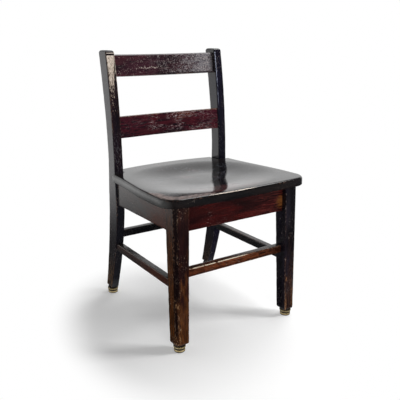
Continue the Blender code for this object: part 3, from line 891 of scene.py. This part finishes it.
def seatOutline():
    # the right half from the middle of the front to the middle of the back, then its mirror image
    right = []

    def arc(x, y, size, first, last, count):
        for step in range(1, count + 1):
            angle = first + step / count * (last - first)
            right.append((x + size * math.cos(angle), y + size * math.sin(angle)))

    radius = seat["cornerRadius"]
    bowHalf = seat["frontWidth"] / 2
    cornerX = bowHalf - radius
    slope = math.atan(2 * seat["frontBow"] * cornerX / bowHalf ** 2)
    joinX = cornerX + radius * math.sin(slope)
    cornerY = seat["frontBow"] * (joinX / bowHalf) ** 2 + radius * math.cos(slope)
    for step in range(1, 25):
        x = joinX * step / 24
        right.append((x, seat["frontBow"] * (x / bowHalf) ** 2))
    arc(cornerX, cornerY, radius, slope - math.pi / 2, 0.0, 18)
    notchY = postStraightY(seat["underHeight"]) - seatFrontY - chair["gap"]
    turnY = notchY - seat["notchRadius"]
    for step in range(1, 33):
        y = cornerY + (turnY - cornerY) * step / 32
        right.append((seatHalfWidth(y), y))
    innerX = postInnerX - chair["gap"]
    turnX = seatHalfWidth(turnY) - seat["notchRadius"]
    arc(turnX, turnY, seat["notchRadius"], 0.0, math.pi / 2, 6)
    for step in range(1, 4):
        right.append((turnX + (innerX - turnX) * step / 3, notchY))
    backY = seat["backReach"]
    for step in range(1, 6):
        right.append((innerX, notchY + (backY - notchY) * step / 5))
    for step in range(1, 20):
        x = innerX * (1 - step / 20)
        right.append((x, backY + seat["backBow"] * (1 - (x / innerX) ** 2)))
    left = [(-x, y) for x, y in reversed(right)]
    return [(0.0, 0.0)] + right + [(0.0, backY + seat["backBow"])] + left


def dishDrop(x, y):
    backRimY = seat["backReach"] - seat["backRim"]
    halfLength = (backRimY - seat["frontRim"]) / 2
    across = abs(x) / (seatHalfWidth(y) - seat["sideRim"])
    along = abs(y - seat["frontRim"] - halfLength) / halfLength
    power = seat["dishRoundness"]
    radius = (across ** power + along ** power) ** (1 / power)
    wall = clamp((1.0 - radius) / 0.7)
    return seat["dishDepth"] * math.sin(wall * math.pi / 2) ** 1.5


def makeSeat(material):
    bm = bmesh.new()
    under = bm.faces.new([bm.verts.new((x, y, 0.0)) for x, y in seatOutline()])
    drawn = ops.extrude_face_region(bm, geom=[under])
    raised = [item for item in drawn["geom"] if isinstance(item, bmesh.types.BMVert)]
    thick = seat["thickness"]
    ops.translate(bm, verts=raised, vec=(0, 0, thick))
    ops.recalc_face_normals(bm, faces=bm.faces)
    for height, width, segments in ((0.0, seat["underRound"], 3), (thick, seat["topRound"], 6)):
        loop = [e for e in bm.edges if all(abs(v.co.z - height) < 1e-6 for v in e.verts)]
        bevelEdges(bm, loop, width, segments)
    layer = bm.verts.layers.float.new("edge")
    rimLayer = bm.verts.layers.float.new("rim")
    for vert in bm.verts:
        rise = clamp((vert.co.z - thick) / seat["topRound"] + 1.0)
        vert[layer] = 0.15 + 0.65 * math.sin(rise * math.pi)
        vert[rimLayer] = seat["topRound"] * (1.0 - math.sqrt(1.0 - rise * rise))
    top = max(bm.faces, key=lambda face: face.calc_center_median().z)
    rim = [vert.co.copy() for vert in top.verts]
    middle = Vector((0.0, seat["backReach"] * 0.5, thick))
    for step in range(1, carving["seatRings"]):
        share = 1.0 - 0.985 * step / carving["seatRings"]
        ops.inset_individual(bm, faces=[top], thickness=0.0001)
        for vert, start in zip(top.verts, rim):
            vert.co = middle + (start - middle) * share
            vert.co.z = thick - dishDrop(vert.co.x, vert.co.y)
            vert[layer] = 0.3 * math.exp(-(1.0 - share) / 0.03)
            vert[rimLayer] = seat["topRound"] + (vert.co.xy - start.xy).length
    poked = ops.poke(bm, faces=[top])
    for vert in poked["verts"]:
        vert.co.z = thick - dishDrop(vert.co.x, vert.co.y)
        vert[layer] = 0.0
        vert[rimLayer] = seat["frontWidth"] / 2
    tilt = math.tan(seat["pitch"])
    for vert in bm.verts:
        x, y, z = vert.co
        vert.co = (x, y + seatFrontY + tilt * z, z + seat["underHeight"] - tilt * y)
    finishWood("seat", bm, carving["railWear"], material)


glide = {
    "baseRadius": 0.0163,
    "baseHeight": 0.011,
    "cupRadius": 0.0178,
    "neckRadius": 0.0125,
    "grooveRadius": 0.0146,  # the dark groove between the base and the cup
    "collarRadius": 0.015,  # the upper part of the cup, below the wood
    "collarHeight": 0.0036,
    "neckRise": 0.004,
    "baseEdge": 0.0012,  # slopes that lead to the groove
    "cupEdge": 0.001,
    "round": 0.0038,
    "dents": 0.00015,
    "dentRate": 240.0,
    "dentSeed": 1,
}


def makeGlide(word, x, y, material):
    # turned brass: a base disc with its neck, and a cup with a rounded band and a collar under the wood
    # without a seed the dents would differ from run to run
    noise.seed_set(glide["dentSeed"])
    baseTop = glide["baseHeight"]
    top = chair["floorToWood"] - chair["gap"]
    low = baseTop + chair["gap"]
    collar = top - glide["collarHeight"]
    neck = glide["neckRadius"]
    bore = neck + chair["gap"]
    rise = glide["neckRise"]
    profiles = {
        "base": [(0.0, 0.0), (glide["baseRadius"], 0.0), (glide["baseRadius"], baseTop - glide["baseEdge"]),
                 (glide["grooveRadius"], baseTop), (neck, baseTop), (neck, baseTop + rise),
                 (0.0, baseTop + rise)],
        "cup": [(0.0, low + rise), (bore, low + rise), (bore, low), (glide["grooveRadius"], low),
                (glide["cupRadius"], low + glide["cupEdge"]), (glide["cupRadius"], collar),
                (glide["collarRadius"], collar), (glide["collarRadius"], top), (0.0, top)],
    }
    for part, profile in profiles.items():
        bm = bmesh.new()
        verts = [bm.verts.new((radius, 0.0, height)) for radius, height in profile]
        edges = [bm.edges.new(pair) for pair in zip(verts, verts[1:])]
        ops.spin(bm, geom=verts + edges, cent=(0, 0, 0), axis=(0, 0, 1), angle=math.tau, steps=64,
                 use_merge=True, use_duplicate=False)
        ops.remove_doubles(bm, verts=bm.verts, dist=0.00001)
        ops.recalc_face_normals(bm, faces=bm.faces)
        outer = glide["baseRadius"] if part == "base" else glide["cupRadius"]
        rings = [e for e in bm.edges if all(abs(v.co.xy.length - outer) < 1e-5 for v in e.verts)
                 and abs(e.verts[0].co.z - e.verts[1].co.z) < 1e-6]
        bevelEdges(bm, rings, glide["round"], 5)
        ops.translate(bm, verts=bm.verts, vec=(x, y, 0.0))
        for vert in bm.verts:
            if vert.co.z > 0.001:
                vert.co += glide["dents"] * noise.noise_vector(vert.co * glide["dentRate"])
        finishPiece(f"turned_{part}_{word}", bm, material, [f"glide_{part}_{word}"])


# What each piece shows of its own; the rest comes from the varnish above
finishes = {
    "leftLeg": {
        "deep": (0.006, 0.0025, 0.003), "stain": (0.012, 0.004, 0.0042), "warm": (0.03, 0.008, 0.0055),
        "brownDark": (0.026, 0.0085, 0.0036), "brownPale": (0.115, 0.04, 0.012), "tan": (0.23, 0.12, 0.048),
        "bare": (0.13, 0.062, 0.03), "pale": (0.4, 0.29, 0.22), "sideBrown": 1.0, "topBrown": 0.15,
        "chips": 0.5, "edgeWear": 0.38, "dustAmount": 0.0},
    "rightLeg": {
        "deep": (0.0026, 0.0022, 0.0034), "stain": (0.008, 0.007, 0.0125), "warm": (0.016, 0.013, 0.018),
        "brownDark": (0.012, 0.006, 0.006), "brownPale": (0.052, 0.024, 0.015), "tan": (0.29, 0.13, 0.045),
        "bare": (0.11, 0.05, 0.024), "sideBrown": 0.0, "topBrown": 0.0,
        "lineX": 0.1815,  # where a flaked line runs down its front
        "chips": 0.3, "edgeWear": 0.34, "dustAmount": 0.0},
    "leftPost": {
        "deep": (0.0034, 0.0024, 0.0044), "stain": (0.0064, 0.0044, 0.0086), "warm": (0.015, 0.0062, 0.0085),
        "dustAndSheen": (0.07, 0.066, 0.072), "brownDark": (0.014, 0.007, 0.005), "tan": (0.21, 0.115, 0.058),
        "silverDark": (0.23, 0.16, 0.11), "silverPale": (0.76, 0.67, 0.58),
        "navy": (0.0125, 0.013, 0.0175), "specks": 0.8, "chips": 0.3, "edgeWear": 0.24},
    "rightPost": {
        "deep": (0.0028, 0.0026, 0.0062), "stain": (0.005, 0.0048, 0.0118), "warm": (0.009, 0.0064, 0.012),
        "bare": (0.11, 0.09, 0.1), "brownDark": (0.01, 0.006, 0.006), "tan": (0.06, 0.036, 0.024),
        "highlightBlue": (0.26, 0.28, 0.36), "specks": 0.15, "chips": 0.3, "edgeWear": 0.12, "dustAmount": 0.06},
    "frontApron": {
        "along": "x", "deep": (0.009, 0.0018, 0.0022), "stain": (0.024, 0.0027, 0.003),
        "warm": (0.05, 0.006, 0.0048), "bright": (0.085, 0.016, 0.013), "thin": (0.165, 0.06, 0.016),
        "warmth": 0.7, "chips": 0.26, "edgeWear": 0.14},
    "backRails": {
        "along": "x", "deep": (0.0045, 0.0048, 0.006), "stain": (0.0078, 0.0084, 0.0105),
        "warm": (0.012, 0.01, 0.011), "chips": 0.18, "edgeWear": 0.1},
    "sideRails": {
        "along": "y", "stain": (0.016, 0.009, 0.008), "warm": (0.076, 0.019, 0.009), "redness": 0.9,
        "inside": (0.0085, 0.0095, 0.0115), "topDust": 0.4, "chips": 0.25, "edgeWear": 0.26,
        "dustAmount": 0.4},
    "stretcher": {
        "along": "x", "deep": (0.01, 0.0036, 0.0024), "stain": (0.048, 0.014, 0.0062),
        "warm": (0.12, 0.036, 0.014), "cream": (0.7, 0.6, 0.46), "warmth": 0.6, "topDust": 0.55,
        "chips": 0.45, "edgeWear": 0.35},
    "topSlat": {
        "along": "x", "deep": (0.012, 0.006, 0.009), "stain": (0.027, 0.0085, 0.0145),
        "warm": (0.05, 0.0125, 0.018), "dark": (0.012, 0.006, 0.009), "patches": 0.5, "scratches": 0.3,
        "scratchColor": (0.26, 0.19, 0.185), "bloomStart": -0.01, "bloomEnd": 0.22,
        "sheenColor": (0.175, 0.168, 0.182), "chips": 0.46, "chipSpread": 0.5, "edgeWear": 0.3},
    "lowerSlat": {
        "along": "x", "deep": (0.01, 0.0036, 0.007), "stain": (0.034, 0.0045, 0.0098),
        "warm": (0.064, 0.0064, 0.01), "dark": (0.005, 0.0035, 0.006), "patches": 0.9, "scratches": 0.8,
        "scratchColor": (0.52, 0.41, 0.41), "thin": (0.15, 0.045, 0.016), "edgeWear": 0.5},
    "seat": {
        "along": "x", "deep": (0.0036, 0.0038, 0.0044), "stain": (0.0066, 0.006, 0.0066),
        "warm": (0.011, 0.0075, 0.0072), "scuff": (0.13, 0.14, 0.17), "warmRub": (0.11, 0.036, 0.032),
        "rubbedDark": (0.022, 0.009, 0.009), "rubbedPale": (0.34, 0.24, 0.215),
        "cream": (0.64, 0.55, 0.47), "gloss": 0.1, "chips": 0.26, "chipSpread": 0.62, "edgeWear": 0.12},
}
# The name of each wood's material, and the function for its own marks
woodNames = {
    "leftLeg": ("worn_brown_leg_left", legDetails),
    "rightLeg": ("worn_brown_leg_right", legDetails),
    "leftPost": ("rubbed_post_left", leftPostDetails),
    "rightPost": ("dark_post_right", rightPostDetails),
    "frontApron": ("oxblood_apron", apronDetails),
    "backRails": ("dark_back_rails", None),
    "sideRails": ("dusty_sheened_side_rails", sideDetails),
    "stretcher": ("rust_brown_stretcher", stretcherDetails),
    "topSlat": ("flecked_top_slat", topSlatDetails),
    "lowerSlat": ("scratched_lower_slat", lowerSlatDetails),
    "seat": ("glossy_dished_seat", seatDetails),
}
woods = {key: wornVarnish(name, finishes[key], details) for key, (name, details) in woodNames.items()}
brass = brassFinish("tarnished_shaded_brass")
steel = steelFinish("dull_steel")
bareWood = bareFinish("bare_block_wood")
print("finishes made")

sides = ((-1, "left"), (1, "right"))
for side, word in sides:
    makeLeg(side, word, woods[word + "Leg"])
    makePost(side, word, woods[word + "Post"])
print("legs and posts shaped")

board = rails["apronThickness"]
bar = (rails["stretcherHeight"], rails["stretcherThickness"])
makeCrossRail("front_apron", legInnerX, frontApronY, frontApronZ, rails["frontApronHeight"], board,
              woods["frontApron"])
makeCrossRail("back_apron", lambda z: postInnerX, backApronY, backApronZ, rails["backApronHeight"], board,
              woods["backRails"])
makeCrossRail("front_stretcher", legInnerX, frontStretcherY, rails["frontLevel"], *bar, woods["stretcher"])
makeCrossRail("back_stretcher", lambda z: postInnerX, backStretcherY, rails["backLevel"], *bar,
              woods["backRails"])
for side, word in sides:
    makeSideRail(f"side_apron_{word}", side, apronLevel, rails["sideApronHeight"], board, woods["sideRails"])
    makeSideRail(f"side_stretcher_{word}", side, stretcherLevel, *bar, woods["sideRails"])
print("aprons and stretchers shaped")

makeSlat("top_slat", slats["topLevel"], slats["topHeight"], slats["topSetback"], slats["topRound"],
         woods["topSlat"])
makeSlat("lower_slat", slats["lowerLevel"], slats["lowerHeight"], slats["lowerSetback"], rails["edge"],
         woods["lowerSlat"])
print("slats shaped")

makeSeat(woods["seat"])
print("seat shaped")

footZ = chair["floorToWood"]
legX = (leg["outerX"] + legInnerX(footZ)) / 2
legY = (legFrontY(footZ) + legRearY(footZ)) / 2
postX = (postOuterX(footZ) + postInnerX) / 2
postY = postFootRearY - post["footDepth"] / 2
for side, word in sides:
    makeGlide(f"front_{word}", side * legX, legY, brass)
    makeGlide(f"back_{word}", side * postX, postY, brass)
for name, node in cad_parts.items():
    if name.startswith("corner_block"):
        node.material_slots[0].material = bareWood
    if name.startswith("seat_screw"):
        node.material_slots[0].material = steel
print("glides, blocks and screws done")

studio = {
    "floorReach": 3.4,
    "floorColor": (0.88, 0.88, 0.88),
    "floorLift": 0.2,  # white that the camera alone sees, so that the open floor is plain white
    "shadowCentre": (-0.1, -0.1, 0.0),
    "shadowSqueeze": (1.35, 1.0, 1.0),
    "whiteFrom": 0.34,  # from here to the next distance the floor goes over into plain white
    "whiteTo": 0.54,
    "backGlow": 1.05,
    "frontGlow": 0.07,
    "highGlow": 0.4,
    "brightSide": (0.0, 1.0, 0.0),
    "nearMirror": 0.05,  # what polished wood shows of the floor close by, and far behind it
    "farMirror": 1.16,
    "footMirror": 0.55,  # and of the floor right beside the feet, which the brass shows
    "footReach": (0.085, 0.085, 1.0),
    "key": {"place": (1.15, 0.12, 2.4), "target": (0.0, 0.0, 0.2), "size": 1.3, "power": 26.0},
    "side": {"place": (1.65, -1.2, 1.4), "target": (0.0, 0.0, 0.2), "size": 0.6, "power": 33.0},
    "fill": {"place": (-0.8, -2.7, 0.6), "target": (0.0, 0.0, 0.5), "size": 1.2, "power": 36.0},
    "lens": 49.95,
    "cameraPlace": (-0.9263, -1.402, 0.8701),
    "cameraTurn": (75.5, 0.0, -32.5),  # degrees
    "cameraShift": (0.029, -0.0605),
}
white = (1.0, 1.0, 1.0, 1.0)


def makeFloor():
    bm = bmesh.new()
    ops.create_circle(bm, cap_ends=True, segments=96, radius=studio["floorReach"])
    coat = Finish("pale_floor", {})
    rays = coat.add("LightPath").outputs
    seen = Value(coat, rays["Is Camera Ray"])
    coat.show({"Base Color": (*studio["floorColor"], 1.0), "Roughness": 0.9, "Specular IOR Level": 0.0,
               "Emission Color": white, "Emission Strength": seen * studio["floorLift"]})

    # polished wood sees a floor that is bright far behind the chair and beside the feet
    toward = coat.vector("DOT_PRODUCT", coat.vector("NORMALIZE", coat.place), studio["brightSide"])
    distance = coat.vector("LENGTH", coat.place)
    mirror = distance.span(0.7, 2.0, studio["nearMirror"], studio["farMirror"])
    mirror = mirror * toward.span(0.0, 0.5, 0.08, 1.0)
    feet = [(side * x, y) for side in (-1, 1) for x, y in ((legX, legY), (postX, postY))]
    beside = most(*[coat.spot((x, y, 0.0), studio["footReach"]) for x, y in feet])
    mirror = most(mirror, beside * studio["footMirror"])
    shown = coat.add("Emission", {"Strength": mirror})

    # the camera sees the shadow fade out into plain white
    aside = coat.vector("SUBTRACT", coat.place, studio["shadowCentre"])
    aside = coat.vector("LENGTH", coat.vector("MULTIPLY", aside, studio["shadowSqueeze"]))
    far = seen * aside.span(studio["whiteFrom"], studio["whiteTo"])
    plain = coat.add("Emission", {"Strength": 1.0})
    faded = coat.add("MixShader", {0: far, 1: coat.shader.outputs[0], 2: plain.outputs[0]})
    both = coat.add("MixShader", {0: rays["Is Glossy Ray"], 1: faded.outputs[0], 2: shown.outputs[0]})
    coat.feed(coat.tree.nodes["Material Output"].inputs["Surface"], both.outputs[0])
    addMesh("studio_floor", bm, coat.material)


def makeWorld():
    # bright behind the chair and at the horizon, dark in front, plain white for the camera
    world = bpy.data.worlds.new("studio_world")
    bpy.context.scene.world = world
    sky = NodeWork(world, "Generated")
    toward = sky.vector("DOT_PRODUCT", sky.place, studio["brightSide"])
    glow = toward.span(0.0, 0.5, studio["frontGlow"], studio["backGlow"])
    glow = glow * sky.z.span(0.2, 0.52, 1.0, studio["highGlow"])
    room = sky.add("Background", {"Color": white, "Strength": glow})
    plain = sky.add("Background", {"Color": white, "Strength": 1.0})
    rays = sky.add("LightPath").outputs
    both = sky.add("MixShader", {0: rays["Is Camera Ray"], 1: room.outputs[0], 2: plain.outputs[0]})
    sky.feed(sky.tree.nodes["World Output"].inputs["Surface"], both.outputs[0])


def addSoftbox(name, values):
    lamp = bpy.data.lights.new(name, "AREA")
    lamp.shape = "RECTANGLE"
    lamp.size = values["size"]
    lamp.size_y = values["size"]
    lamp.energy = values["power"]
    light = addObject(name, lamp)
    light.location = values["place"]
    beam = Vector(values["target"]) - Vector(values["place"])
    light.rotation_euler = beam.to_track_quat("-Z", "Y").to_euler()
    return light


def addCamera():
    camera = bpy.data.cameras.new("photo_camera")
    camera.lens = studio["lens"]
    camera.sensor_width = 36.0
    camera.shift_x, camera.shift_y = studio["cameraShift"]
    holder = addObject("photo_camera", camera)
    holder.location = studio["cameraPlace"]
    holder.rotation_euler = [math.radians(turn) for turn in studio["cameraTurn"]]
    bpy.context.scene.camera = holder


makeFloor()
makeWorld()
addSoftbox("key_softbox", studio["key"])
# these two lift the dark faces without square highlights of their own on round corners
addSoftbox("side_softbox", studio["side"]).visible_glossy = False
addSoftbox("front_fill", studio["fill"]).visible_glossy = False
addCamera()
bpy.context.scene.view_settings.view_transform = "Standard"
print("studio ready")
